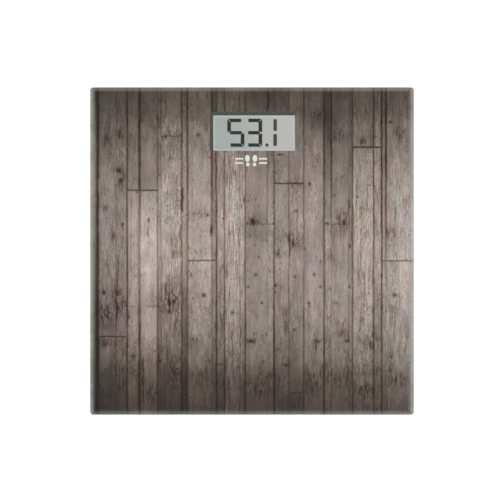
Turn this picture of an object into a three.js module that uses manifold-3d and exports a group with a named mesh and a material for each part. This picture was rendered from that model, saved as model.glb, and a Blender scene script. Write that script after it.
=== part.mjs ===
// Digital bathroom scale: a glass platform on four weighing feet, with a display module under it.
// Millimetres. +Z is up, +Y is the display end, and the floor is z = 0 under the platform's centre.

import * as THREE from "three";
import { mergeVertices } from "three/addons/utils/BufferGeometryUtils.js";
import Module from "manifold-3d";

const wasm = await Module();
wasm.setup();

// ---------------------------------------------------------------- driving dimensions

const GAP = 0.3;                // between neighbours that do not move against each other
const ARC_STEPS = 3;            // how finely rounded corners are cut

const PLATE_WIDTH = 300;
const PLATE_DEPTH = 303.5;
const PLATE_THICKNESS = 6;
const PLATE_TOP = 24;
const PLATE_CORNER = 3;
const PLATE_EDGE_ROUND = 1.3;
const PLATE_BOTTOM = PLATE_TOP - PLATE_THICKNESS;

const FILM_MARGIN = 1;          // clear glass left around the printed film
const FILM_THICKNESS = 0.3;
const FILM_TOP = PLATE_BOTTOM - GAP;
const FILM_BOTTOM = FILM_TOP - FILM_THICKNESS;
const BOND_THICKNESS = 0.3;     // adhesive foam between the film and what hangs under it
const BOND_BOTTOM = FILM_BOTTOM - BOND_THICKNESS;

const FILM_WINDOW = { x: 0.35, y: 111, width: 79.1, depth: 36.1 };
const DISPLAY_AREA = { x: 1.9, y: 109.45, width: 76, depth: 33 };

const MODULE = { x: 0, y: 101, width: 108, depth: 78, corner: 6 };
const MODULE_WALL = 2;
const MODULE_FLOOR = 1.8;
const MODULE_BOTTOM = 5.8;
const MODULE_SPLIT = 12;        // where the upper frame meets the bottom cover
const FACE_PLATE = 0.8;         // thickness of the upper frame round the display
const PARTING_BEVEL = 0.6;
const SCREW_X = 47;
const SCREW_Y = [69, 133];
const BOSS_RADIUS = 4;
const FRAME_BOSS_BOTTOM = 11.3;
const COVER_BOSS_TOP = FRAME_BOSS_BOTTOM - GAP;
const SCREW_HOLE = 1.3;
const SCREW_SHANK = 1;
const SCREW_HEAD = 2.3;
const SCREW_TIP = 14.6;
const COUNTERBORE_TOP = 8.2;
const BOARD_POST = 1.8;         // radius of the posts that the circuit board rests on

const LCD = { width: 84, depth: 41, ledge: 4, bottom: 13.4, step: 14.6, top: 16 };
const BOARD = { left: -42, right: 42, front: 66, back: 134, bottom: 10.2, top: 11.8 };

const CELL = { x: -16, y: 77, radius: 10, bottom: 8.6, top: 11.8 };
const DOOR = { x: -16, width: 24, back: 88, lip: 0.5, rail: 2, thickness: 1.5 };
const DOOR_LIP_TOP = MODULE_BOTTOM + DOOR.lip;

const DOOR_RIDGE = { count: 4, pitch: 2, first: 3, width: 0.9, half: 7, proud: 0.4 };
const CONTACT_THICKNESS = 0.3;
const CHIP = { x: 10, y: 106, radius: 6 };

const BUTTON = { x: 24, y: 76, radius: 3.5, flange: 4.8, proud: 0.4 };

const FOOT_X = 112;
const FOOT_Y = 113.75;
const FOOT_SIDES = 24;
const FOOT_OUTER = 27.8;
const FOOT_FLANGE = 29.5;
const FOOT_INNER = 25;
const FOOT_MOUTH = 22.4;
const FOOT_CEILING = 15.6;
const FOOT_RIM = 15.4;
const FOOT_BOTTOM = 7;
const LIP_TOP = 8.2;
const CAP_RADIUS = 21.9;
const CAP_FLANGE = 23.8;
const CAP_TOP = 9.2;
const PAD_RADIUS = 17.1;
const PAD_TOP = 3.4;
const CAP_WALL = 19.5;          // inner radius of the foot cap's rim
const CAP_HUB = 5.2;            // radius of the boss that carries the load cell
const SENSOR = { size: 33, corner: 4, bottom: 10.4, top: 12.6 };
const SENSOR_POST = { place: 13, radius: 1.6 };
const GAUGE_X = 8;

const LEAD_RADIUS = 1.1;
const LEAD_HIGH = BOND_BOTTOM - LEAD_RADIUS;      // height of a lead that lies under the film
const LEAD_IN_FOOT = 14;
const LEAD_IN_MODULE = 14.6;
const LEAD_END = BOARD.top + GAP + LEAD_RADIUS;
const FRONT_ENTRY_X = 36;       // where the leads go through the display module's walls
const REAR_ENTRY_Y = 79;
const REAR_CLIP_X = 62;
const REAR_CLIP_Y = 94;
const FRONT_CLIP_Y = -60;

// ---------------------------------------------------------------- helpers

function solid(geometry) {
  geometry.deleteAttribute("normal");
  geometry.deleteAttribute("uv");
  const merged = mergeVertices(geometry, 1e-4);
  const triangles = [];
  const index = merged.index.array;
  for (let i = 0; i < index.length; i += 3) {
    const [a, b, c] = [index[i], index[i + 1], index[i + 2]];
    if (a !== b && b !== c && c !== a) triangles.push(a, b, c);
  }
  return new wasm.Manifold(new wasm.Mesh({
    numProp: 3,
    vertProperties: new Float32Array(merged.attributes.position.array),
    triVerts: new Uint32Array(triangles),
  }));
}

function meshOf(name, body, material) {
  const data = body.getMesh();
  const geometry = new THREE.BufferGeometry();
  geometry.setAttribute("position", new THREE.BufferAttribute(data.vertProperties, 3));
  geometry.setIndex(new THREE.BufferAttribute(data.triVerts, 1));
  geometry.computeVertexNormals();
  const mesh = new THREE.Mesh(geometry, material);
  mesh.name = name;
  return mesh;
}

function roundedRect(width, depth, radius, x = 0, y = 0) {
  const right = x + width / 2 - radius;
  const left = x - width / 2 + radius;
  const back = y + depth / 2 - radius;
  const front = y - depth / 2 + radius;
  const shape = new THREE.Shape();
  shape.absarc(right, back, radius, 0, Math.PI / 2);
  shape.absarc(left, back, radius, Math.PI / 2, Math.PI);
  shape.absarc(left, front, radius, Math.PI, 1.5 * Math.PI);
  shape.absarc(right, front, radius, 1.5 * Math.PI, 2 * Math.PI);
  shape.closePath();
  return shape;
}

function polygon(points) {
  return new THREE.Shape(points.map(([x, y]) => new THREE.Vector2(x, y)));
}

function slab(shape, bottom, top, { bevel = 0, bevelSteps = 1 } = {}) {
  const geometry = new THREE.ExtrudeGeometry(shape, {
    depth: top - bottom - 2 * bevel,
    curveSegments: ARC_STEPS,
    bevelEnabled: bevel > 0,
    bevelThickness: bevel,
    bevelSize: bevel,
    bevelOffset: -bevel,
    bevelSegments: bevelSteps,
  });
  geometry.translate(0, 0, bottom + bevel);
  return solid(geometry);
}

function block(x0, x1, y0, y1, z0, z1) {
  const geometry = new THREE.BoxGeometry(x1 - x0, y1 - y0, z1 - z0);
  geometry.translate((x0 + x1) / 2, (y0 + y1) / 2, (z0 + z1) / 2);
  return solid(geometry);
}

function turned(profile, x = 0, y = 0, sides = FOOT_SIDES) {
  const geometry = new THREE.LatheGeometry(profile.map(([r, z]) => new THREE.Vector2(r, z)), sides);
  geometry.rotateX(Math.PI / 2);
  geometry.translate(x, y, 0);
  return solid(geometry);
}

function rod(radius, z0, z1, x, y, sides = 12) {
  return turned([[0, z0], [radius, z0], [radius, z1], [0, z1]], x, y, sides);
}

function extrudedAlongY(shape, y0, y1) {
  const options = { depth: y1 - y0, bevelEnabled: false, curveSegments: 4 };
  const geometry = new THREE.ExtrudeGeometry(shape, options);
  geometry.rotateX(Math.PI / 2);
  geometry.translate(0, y1, 0);
  return solid(geometry);
}

function finish(color, roughness, metalness = 0) {
  return new THREE.MeshStandardMaterial({ color, roughness, metalness });
}

// ---------------------------------------------------------------- platform

function glassPlatform() {
  const outline = roundedRect(PLATE_WIDTH, PLATE_DEPTH, PLATE_CORNER);
  const body = slab(outline, PLATE_BOTTOM, PLATE_TOP, { bevel: PLATE_EDGE_ROUND, bevelSteps: 2 });
  return meshOf("glass_platform", body, finish(0xa9b8b0, 0.05));
}

function windowHole() {
  const { x, y, width, depth } = FILM_WINDOW;
  return roundedRect(width, depth, 0.5, x, y);
}

function decorFilm() {
  const shape = roundedRect(PLATE_WIDTH - 2 * FILM_MARGIN, PLATE_DEPTH - 2 * FILM_MARGIN, 1.5);
  shape.holes.push(windowHole());
  return meshOf("decor_film", slab(shape, FILM_BOTTOM, FILM_TOP), finish(0x8f847d, 0.5));
}

// ---------------------------------------------------------------- display module

function screwPlaces() {
  return SCREW_Y.flatMap((y) => [[-SCREW_X, y], [SCREW_X, y]]);
}

function moduleOutline(inset = 0) {
  const { x, y, width, depth, corner } = MODULE;
  return roundedRect(width - 2 * inset, depth - 2 * inset, corner - inset, x, y);
}

function displayFrame() {
  const plateUnderside = BOND_BOTTOM - FACE_PLATE;
  const { x, y, width, depth } = DISPLAY_AREA;
  const rimWall = 1.7;
  const rim = roundedRect(LCD.width + 2 * (rimWall + GAP), LCD.depth + 2 * (rimWall + GAP), 1, x, y);
  rim.holes.push(roundedRect(LCD.width + 2 * GAP, LCD.depth + 2 * GAP, 0.4, x, y));

  let body = slab(moduleOutline(), MODULE_SPLIT, BOND_BOTTOM, { bevel: PARTING_BEVEL });
  body = body.subtract(slab(moduleOutline(MODULE_WALL), MODULE_SPLIT - 1, plateUnderside));
  body = body.subtract(slab(roundedRect(width, depth, 0.5, x, y), plateUnderside - 1, BOND_BOTTOM + 1));
  body = body.add(slab(rim, LCD.bottom, plateUnderside + GAP));
  for (const [screwX, screwY] of screwPlaces()) {
    body = body.add(rod(BOSS_RADIUS, FRAME_BOSS_BOTTOM, plateUnderside + GAP, screwX, screwY));
    body = body.subtract(rod(SCREW_HOLE, FRAME_BOSS_BOTTOM - 1, SCREW_TIP + GAP, screwX, screwY, 12));
  }
  for (const notch of leadNotches(plateUnderside)) body = body.subtract(notch);
  return meshOf("display_frame", body, finish(0x2f3733, 0.6));
}

function leadNotches(top) {
  const half = LEAD_RADIUS + 0.5;
  const bottom = LEAD_IN_MODULE - half;
  const outerX = MODULE.width / 2;
  const outerY = MODULE.y - MODULE.depth / 2;
  const notches = [];
  for (const side of [-1, 1]) {
    const [x0, x1] = [side * (outerX - MODULE_WALL - 1), side * (outerX + 1)].sort((a, b) => a - b);
    const frontX = side * FRONT_ENTRY_X;
    notches.push(block(x0, x1, REAR_ENTRY_Y - half, REAR_ENTRY_Y + half, bottom, top));
    notches.push(block(frontX - half, frontX + half, outerY - 1, outerY + MODULE_WALL + 1, bottom, top));
  }
  return notches;
}

function displayBond() {
  const shape = moduleOutline(PARTING_BEVEL);
  const { x, y, width, depth } = FILM_WINDOW;
  shape.holes.push(roundedRect(width + 5, depth + 5, 1, x, y));
  return meshOf("display_bond", slab(shape, BOND_BOTTOM, FILM_BOTTOM), finish(0x1c1c1c, 0.9));
}

function batteryRing() {
  const inner = CELL.radius + 0.6;
  const outer = inner + 1.4;
  const bottom = MODULE_BOTTOM + MODULE_FLOOR;
  const top = CELL.top - GAP;
  const ring = turned([[inner, bottom - GAP], [outer, bottom - GAP], [outer, top], [inner, top],
    [inner, bottom - GAP]], CELL.x, CELL.y);
  const [left, right] = [CELL.x - outer - 1, CELL.x - CELL.radius + 1];
  const contactHalf = 3.5;
  return ring.subtract(block(left, right, CELL.y - contactHalf, CELL.y + contactHalf, 0, top + 1));
}

function doorSlot() {
  const half = DOOR.width / 2 + GAP;
  const outerY = MODULE.y - MODULE.depth / 2;
  const floorTop = MODULE_BOTTOM + MODULE_FLOOR;
  const back = DOOR.back + GAP;
  const mouth = block(DOOR.x - half, DOOR.x + half, outerY - 1, back, MODULE_BOTTOM - 1, floorTop);
  const wide = half + DOOR.rail;
  return mouth.add(block(DOOR.x - wide, DOOR.x + wide, outerY - 1, back, DOOR_LIP_TOP, floorTop));
}

function housingCover() {
  const floorTop = MODULE_BOTTOM + MODULE_FLOOR;
  const counterbore = SCREW_HEAD + GAP;
  let body = slab(moduleOutline(), MODULE_BOTTOM, MODULE_SPLIT, { bevel: PARTING_BEVEL });
  body = body.subtract(slab(moduleOutline(MODULE_WALL), floorTop, MODULE_SPLIT + 1));
  body = body.add(batteryRing()).subtract(doorSlot());
  for (const [x, y] of screwPlaces()) {
    body = body.add(rod(BOSS_RADIUS + 0.5, floorTop - GAP, COVER_BOSS_TOP, x, y));
    body = body.subtract(rod(counterbore, MODULE_BOTTOM - 1, COUNTERBORE_TOP, x, y));
    body = body.subtract(rod(SCREW_HOLE, COUNTERBORE_TOP - 1, COVER_BOSS_TOP + 1, x, y, 12));
  }
  for (const x of [BOARD.left + 4, BOARD.right - 4]) {
    for (const y of [BOARD.front + 20, BOARD.back - 4]) {
      body = body.add(rod(BOARD_POST, floorTop - GAP, BOARD.bottom - GAP, x, y, 8));
    }
  }
  body = body.subtract(rod(BUTTON.radius + GAP, MODULE_BOTTOM - 1, floorTop + 1, BUTTON.x, BUTTON.y, 16));
  return meshOf("housing_cover", body, finish(0xd9dad6, 0.55));
}

function coverScrew(number, x, y) {
  const headBottom = MODULE_BOTTOM + 0.4;
  const headTop = COUNTERBORE_TOP - GAP;
  const profile = [[0, headBottom], [SCREW_HEAD - 0.5, headBottom], [SCREW_HEAD, headBottom + 0.6],
    [SCREW_HEAD, headTop], [SCREW_SHANK, headTop], [SCREW_SHANK, SCREW_TIP - 1], [0, SCREW_TIP]];
  const arm = 1.3;
  const half = 0.3;
  const depth = headBottom + 0.9;
  let body = turned(profile, x, y, 12);
  body = body.subtract(block(x - arm, x + arm, y - half, y + half, 0, depth));
  body = body.subtract(block(x - half, x + half, y - arm, y + arm, 0, depth));
  return meshOf(`cover_screw_${number}`, body, finish(0xa8a8aa, 0.35, 0.9));
}

function lcdPanel() {
  const { x, y } = DISPLAY_AREA;
  const half = LCD.width / 2;
  const front = y - LCD.depth / 2;
  const back = y + LCD.depth / 2;
  const rear = block(x - half, x + half, front, back, LCD.bottom, LCD.step);
  const face = block(x - half, x + half, front + LCD.ledge, back, LCD.step - 0.2, LCD.top);
  return meshOf("lcd_panel", rear.add(face), finish(0xb3b6b1, 0.3));
}

function zebraStrip() {
  const { x, y } = DISPLAY_AREA;
  const front = y - LCD.depth / 2 + 1.4;
  const half = LCD.width / 2 - 4;
  const body = block(x - half, x + half, front, front + 2.4, BOARD.top, LCD.bottom);
  return meshOf("zebra_strip", body, finish(0xc9a9a4, 0.8));
}

function circuitBoard() {
  const notch = CELL.radius + 5;
  const shape = polygon([
    [CELL.x - notch, BOARD.front], [CELL.x - notch, CELL.y + 12], [CELL.x + notch, CELL.y + 12],
    [CELL.x + notch, BOARD.front], [BOARD.right, BOARD.front], [BOARD.right, BOARD.back],
    [BOARD.left, BOARD.back], [BOARD.left, BOARD.front],
  ]);
  return meshOf("circuit_board", slab(shape, BOARD.bottom, BOARD.top), finish(0x2d5a3a, 0.5));
}

function chipBlob() {
  const { x, y, radius } = CHIP;
  const profile = [[0, 8.8], [2.6, 8.95], [4.6, 9.35], [5.7, 9.85], [radius, BOARD.bottom],
    [0, BOARD.bottom]];
  return meshOf("chip_blob", turned(profile, x, y, 16), finish(0x111111, 0.3));
}

function unitSwitch() {
  const { x, y } = BUTTON;
  const half = 2.5;
  const bottom = BOARD.bottom - 0.7;
  const body = block(x - half, x + half, y - half, y + half, bottom, BOARD.bottom);
  const plunger = rod(1.2, bottom - 0.2, bottom + 0.4, x, y);
  return meshOf("unit_switch", body.add(plunger), finish(0x8a8a8a, 0.4, 0.6));
}

function unitButton() {
  const { x, y, radius, flange, proud } = BUTTON;
  const bottom = MODULE_BOTTOM - proud;
  const flangeBottom = MODULE_BOTTOM + MODULE_FLOOR + GAP;
  const flangeTop = flangeBottom + 0.6;
  const profile = [[0, bottom + 0.2], [radius - 1.2, bottom], [radius - 0.4, bottom], [radius, bottom + 0.4],
    [radius, flangeBottom], [flange, flangeBottom], [flange, flangeTop], [0, flangeTop]];
  return meshOf("unit_button", turned(profile, x, y, 16), finish(0x3a3c3b, 0.6));
}

function coinCell() {
  const { x, y, radius, bottom, top } = CELL;
  const profile = [[0, bottom], [radius - 0.5, bottom], [radius, bottom + 0.4], [radius, top - 0.9],
    [radius - 1.1, top - 0.5], [radius - 1.1, top], [0, top]];
  return meshOf("coin_cell", turned(profile, x, y), finish(0xc4c5c6, 0.25, 1));
}

function minusContact() {
  const z = BOARD.top + GAP;
  const [left, right, half] = [CELL.x - 4, CELL.x + 20, 2.5];
  const body = block(left, right, CELL.y - half, CELL.y + half, z, z + CONTACT_THICKNESS);
  return meshOf("battery_contact_minus", body, finish(0xc9c2a8, 0.3, 1));
}

function plusContact() {
  const thickness = CONTACT_THICKNESS;
  const x = CELL.x - CELL.radius - GAP;
  const top = BOARD.top + GAP + thickness;
  const foot = x - 8;
  const outline = polygon([[x, CELL.bottom], [x, top], [foot, top], [foot, top - thickness],
    [x - thickness, top - thickness], [x - thickness, CELL.bottom]]);
  const body = extrudedAlongY(outline, CELL.y - 3, CELL.y + 3);
  return meshOf("battery_contact_plus", body, finish(0xc9c2a8, 0.3, 1));
}

function batteryDoor() {
  const half = DOOR.width / 2;
  const front = MODULE.y - MODULE.depth / 2;
  const top = MODULE_BOTTOM + DOOR.thickness;
  const railBottom = DOOR_LIP_TOP + GAP;
  const wide = half + DOOR.rail;
  let body = block(DOOR.x - half, DOOR.x + half, front, DOOR.back, MODULE_BOTTOM, top);
  body = body.add(block(DOOR.x - wide, DOOR.x + wide, front + MODULE_WALL, DOOR.back, railBottom, top));
  const ridge = DOOR_RIDGE;
  const [left, right] = [DOOR.x - ridge.half, DOOR.x + ridge.half];
  for (let i = 0; i < ridge.count; i += 1) {
    const y = front + ridge.first + ridge.pitch * i;
    const bottom = MODULE_BOTTOM - ridge.proud;
    body = body.add(block(left, right, y, y + ridge.width, bottom, MODULE_BOTTOM + GAP));
  }
  return meshOf("battery_door", body, finish(0xd9dad6, 0.55));
}

function displayModule() {
  const group = new THREE.Group();
  group.add(displayFrame(), displayBond(), housingCover(), lcdPanel(), zebraStrip(), circuitBoard());
  group.add(chipBlob(), unitSwitch(), unitButton(), coinCell(), minusContact(), plusContact(), batteryDoor());
  screwPlaces().forEach(([x, y], i) => group.add(coverScrew(i + 1, x, y)));
  return group;
}

// ---------------------------------------------------------------- weighing feet

function footHousing(name) {
  let body = turned([
    [0, FOOT_CEILING], [FOOT_INNER, FOOT_CEILING], [FOOT_INNER, LIP_TOP], [FOOT_MOUTH, LIP_TOP],
    [FOOT_MOUTH, FOOT_BOTTOM], [FOOT_OUTER - 1.6, FOOT_BOTTOM], [FOOT_OUTER - 0.6, FOOT_BOTTOM + 1],
    [FOOT_OUTER, FOOT_RIM], [FOOT_FLANGE, FOOT_RIM + 0.4], [FOOT_FLANGE, BOND_BOTTOM], [0, BOND_BOTTOM],
  ]);
  const { place, radius } = SENSOR_POST;
  for (const x of [-place, place]) {
    for (const y of [-place, place]) {
      body = body.add(rod(radius, SENSOR.top + GAP, FOOT_CEILING + GAP, x, y, 8));
    }
  }
  const half = LEAD_RADIUS + 0.5;
  body = body.subtract(block(FOOT_INNER - 2, FOOT_FLANGE, -half, half, SENSOR.top, FOOT_RIM));
  return meshOf(`foot_housing_${name}`, body, finish(0xd9dad6, 0.55));
}

function footBond(name) {
  const [inner, outer] = [19, FOOT_FLANGE - 0.5];
  const body = turned([[inner, BOND_BOTTOM], [outer, BOND_BOTTOM], [outer, FILM_BOTTOM], [inner, FILM_BOTTOM],
    [inner, BOND_BOTTOM]]);
  return meshOf(`foot_bond_${name}`, body, finish(0x1c1c1c, 0.9));
}

function loadCell(name) {
  const shape = roundedRect(SENSOR.size, SENSOR.size, SENSOR.corner);
  const [tip, outerTip, root] = [-8.5, -11, 8];
  const [tongue, outside] = [6.5, 9];
  const slotRadius = (outside - tongue) / 2;
  const slot = new THREE.Path();
  slot.moveTo(root, outside);
  slot.lineTo(outerTip, outside);
  slot.lineTo(outerTip, -outside);
  slot.lineTo(root, -outside);
  slot.absarc(root, -outside + slotRadius, slotRadius, -Math.PI / 2, Math.PI / 2);
  slot.lineTo(tip, -tongue);
  slot.lineTo(tip, tongue);
  slot.lineTo(root, tongue);
  slot.absarc(root, tongue + slotRadius, slotRadius, -Math.PI / 2, Math.PI / 2);
  shape.holes.push(slot);
  return meshOf(`load_cell_${name}`, slab(shape, SENSOR.bottom, SENSOR.top), finish(0xb4b6b8, 0.3, 1));
}

function strainGauge(name) {
  const profile = [[0, SENSOR.top], [4, SENSOR.top], [3.7, 13.1], [2.6, 13.5], [0, 13.7]];
  const geometry = new THREE.LatheGeometry(profile.map(([r, z]) => new THREE.Vector2(r, z)), 16);
  geometry.rotateX(Math.PI / 2);
  geometry.scale(1, 1.3, 1);
  geometry.translate(GAUGE_X, 0, 0);
  return meshOf(`strain_gauge_${name}`, solid(geometry), finish(0xf2f2ee, 0.7));
}

function footCap(name) {
  const [rimBottom, floorTop] = [1.6, 5.2];
  const body = turned([
    [0, PAD_TOP], [PAD_RADIUS + GAP, PAD_TOP], [PAD_RADIUS + GAP, rimBottom], [20, rimBottom],
    [20.7, 2.3], [CAP_RADIUS, 5.5], [CAP_RADIUS, LIP_TOP + GAP], [CAP_FLANGE, LIP_TOP + GAP],
    [CAP_FLANGE, CAP_TOP], [CAP_WALL, CAP_TOP], [CAP_WALL, floorTop], [CAP_HUB, floorTop],
    [CAP_HUB, CAP_TOP + GAP], [0, CAP_TOP + GAP],
  ]);
  return meshOf(`foot_cap_${name}`, body, finish(0xcfd0cc, 0.55));
}

function footPad(name) {
  const groove = 0.7;
  const body = turned([
    [0, 0], [5.8, 0], [5.8, groove], [7.2, groove], [7.2, 0], [10.8, 0], [10.8, groove], [12.2, groove],
    [12.2, 0], [PAD_RADIUS - 1, 0], [PAD_RADIUS, 1], [PAD_RADIUS, PAD_TOP], [0, PAD_TOP],
  ]);
  return meshOf(`foot_pad_${name}`, body, finish(0x2a2a2b, 0.85));
}

// exitAngle turns the side that the lead leaves from
function foot(name, x, y, exitAngle) {
  const group = new THREE.Group();
  group.add(footHousing(name), footBond(name), loadCell(name), strainGauge(name));
  group.add(footCap(name), footPad(name));
  group.position.set(x, y, 0);
  group.rotation.z = exitAngle;
  return group;
}

// ---------------------------------------------------------------- leads

function lead(name, points, steps) {
  const curve = new THREE.CatmullRomCurve3(points.map((p) => new THREE.Vector3(...p)));
  const section = new THREE.Shape();
  section.absarc(0, 0, LEAD_RADIUS, 0, 2 * Math.PI);
  const geometry = new THREE.ExtrudeGeometry(section, { steps, extrudePath: curve, curveSegments: 4 });
  return meshOf(`lead_${name}`, solid(geometry), finish(0x26262a, 0.6));
}

function rearLead(name, side) {
  const inner = side * (FOOT_X - GAUGE_X);
  const from = (distance) => inner - side * distance;
  const points = [
    [from(4.8), FOOT_Y, LEAD_IN_FOOT], [from(12), FOOT_Y, LEAD_IN_FOOT], [from(23), FOOT_Y, LEAD_IN_FOOT],
    [from(30), FOOT_Y, LEAD_HIGH], [from(35), FOOT_Y, LEAD_HIGH], [side * 64, FOOT_Y - 3, LEAD_HIGH],
    [side * REAR_CLIP_X, FOOT_Y - 10, LEAD_HIGH], [side * REAR_CLIP_X, 96, LEAD_HIGH],
    [side * REAR_CLIP_X, 88, LEAD_HIGH], [side * 61, 82, LEAD_HIGH - 0.7],
    [side * 57, REAR_ENTRY_Y, LEAD_IN_MODULE], [side * 51, REAR_ENTRY_Y, LEAD_IN_MODULE],
    [side * 45, REAR_ENTRY_Y, 14], [side * 38, REAR_ENTRY_Y, LEAD_END],
  ];
  return lead(name, points, 24);
}

function frontLead(name, side) {
  const start = -FOOT_Y + GAUGE_X;
  const x = side * FOOT_X;
  const points = [
    [x, start + 5, LEAD_IN_FOOT], [x, start + 12, LEAD_IN_FOOT], [x, start + 23, LEAD_IN_FOOT],
    [x, start + 30, LEAD_HIGH], [x, -70, LEAD_HIGH], [x, FRONT_CLIP_Y, LEAD_HIGH], [x, -50, LEAD_HIGH],
    [side * 108, -36, LEAD_HIGH], [side * 90, -8, LEAD_HIGH], [side * 62, 22, LEAD_HIGH],
    [side * 42, 43, LEAD_HIGH], [side * 36.8, 51, LEAD_HIGH - 0.4],
    [side * FRONT_ENTRY_X, 57, LEAD_IN_MODULE], [side * FRONT_ENTRY_X, 63, LEAD_IN_MODULE],
    [side * FRONT_ENTRY_X, 67.5, 13.8], [side * FRONT_ENTRY_X, 72, LEAD_END],
  ];
  return lead(name, points, 38);
}

function leadClip(name, x, y) {
  const inner = LEAD_RADIUS + GAP;
  const outer = inner + 1;
  const flange = 6;
  const flangeBottom = FILM_BOTTOM - 0.8;
  const shape = new THREE.Shape();
  shape.moveTo(x - inner, FILM_BOTTOM);
  shape.lineTo(x - flange, FILM_BOTTOM);
  shape.lineTo(x - flange, flangeBottom);
  shape.lineTo(x - outer, flangeBottom);
  shape.absarc(x, LEAD_HIGH, outer, Math.PI, 2 * Math.PI);
  shape.lineTo(x + outer, flangeBottom);
  shape.lineTo(x + flange, flangeBottom);
  shape.lineTo(x + flange, FILM_BOTTOM);
  shape.lineTo(x + inner, FILM_BOTTOM);
  shape.absarc(x, LEAD_HIGH, inner, 2 * Math.PI, Math.PI, true);
  shape.closePath();
  return meshOf(`lead_clip_${name}`, extrudedAlongY(shape, y - 3, y + 3), finish(0xe4e4e0, 0.5));
}

// ---------------------------------------------------------------- the whole scale

const scale = new THREE.Group();
scale.add(glassPlatform(), decorFilm(), displayModule());
for (const side of [-1, 1]) {
  const hand = side < 0 ? "left" : "right";
  const rear = `rear_${hand}`;
  const front = `front_${hand}`;
  scale.add(foot(rear, side * FOOT_X, FOOT_Y, side < 0 ? 0 : Math.PI));
  scale.add(foot(front, side * FOOT_X, -FOOT_Y, Math.PI / 2));
  scale.add(rearLead(rear, side), frontLead(front, side));
  scale.add(leadClip(rear, side * REAR_CLIP_X, REAR_CLIP_Y), leadClip(front, side * FOOT_X, FRONT_CLIP_Y));
}

export default scale;
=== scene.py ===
"""Looks for a digital bathroom scale: a glass platform with printed boards under it, on weighing feet.

The scene is in metres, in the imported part's frame: +Z up, +Y towards the display, the floor at z = 0.
Sizes and places here are millimetres, and MM turns them into metres. Only the studio's are metres.
"""

import math

import bpy
import numpy as np
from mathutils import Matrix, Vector


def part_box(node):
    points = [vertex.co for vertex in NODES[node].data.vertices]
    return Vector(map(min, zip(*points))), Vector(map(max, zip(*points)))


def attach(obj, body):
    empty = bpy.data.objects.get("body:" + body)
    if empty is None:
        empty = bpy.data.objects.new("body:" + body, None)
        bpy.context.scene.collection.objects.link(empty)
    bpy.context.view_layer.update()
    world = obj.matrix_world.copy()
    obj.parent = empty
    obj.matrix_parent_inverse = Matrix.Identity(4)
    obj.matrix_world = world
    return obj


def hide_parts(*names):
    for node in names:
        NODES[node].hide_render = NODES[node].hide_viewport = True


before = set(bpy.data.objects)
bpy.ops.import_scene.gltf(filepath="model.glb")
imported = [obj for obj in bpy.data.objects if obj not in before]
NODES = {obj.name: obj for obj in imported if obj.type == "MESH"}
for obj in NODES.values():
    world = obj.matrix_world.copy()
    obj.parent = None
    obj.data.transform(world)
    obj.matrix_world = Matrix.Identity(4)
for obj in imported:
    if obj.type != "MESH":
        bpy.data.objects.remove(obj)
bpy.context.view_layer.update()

MM = 0.001
PLATFORM = "platform"


# ---- node graphs ----

def joined_by(operation, swapped=False):
    """A method that joins a wire and another, or a number, with one math node."""
    def method(self, other):
        a, b = (other, self) if swapped else (self, other)
        return self.graph.math(operation, a, b)
    return method


class Wire:
    """A shader node's output that can be added, multiplied and so on, as a number can."""

    def __init__(self, graph, socket):
        self.graph = graph
        self.socket = socket

    __add__, __radd__ = joined_by("ADD"), joined_by("ADD", swapped=True)
    __sub__, __rsub__ = joined_by("SUBTRACT"), joined_by("SUBTRACT", swapped=True)
    __mul__, __rmul__ = joined_by("MULTIPLY"), joined_by("MULTIPLY", swapped=True)
    __truediv__ = joined_by("DIVIDE")
    power = joined_by("POWER")
    larger = joined_by("MAXIMUM")
    smaller = joined_by("MINIMUM")

    def size(self):
        return self.graph.math("ABSOLUTE", self)

    def clamped(self):
        return self.graph.math("ADD", self, clamp=True)

    def band(self, low, high, to_low=0.0, to_high=1.0):
        """A smooth step from to_low, below low, to to_high, above high."""
        node = self.graph.node("ShaderNodeMapRange", interpolation_type="SMOOTHSTEP")
        for key, value in zip(("Value", "From Min", "From Max", "To Min", "To Max"),
                              (self, low, high, to_low, to_high)):
            self.graph.feed(node.inputs[key], value)
        return Wire(self.graph, node.outputs["Result"])

    def bell(self, width):
        """1 where this is 0, falling smoothly to 0 a few widths away on both sides."""
        ratio = self / width
        return self.graph.math("EXPONENT", ratio * ratio * -1.0)


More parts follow.
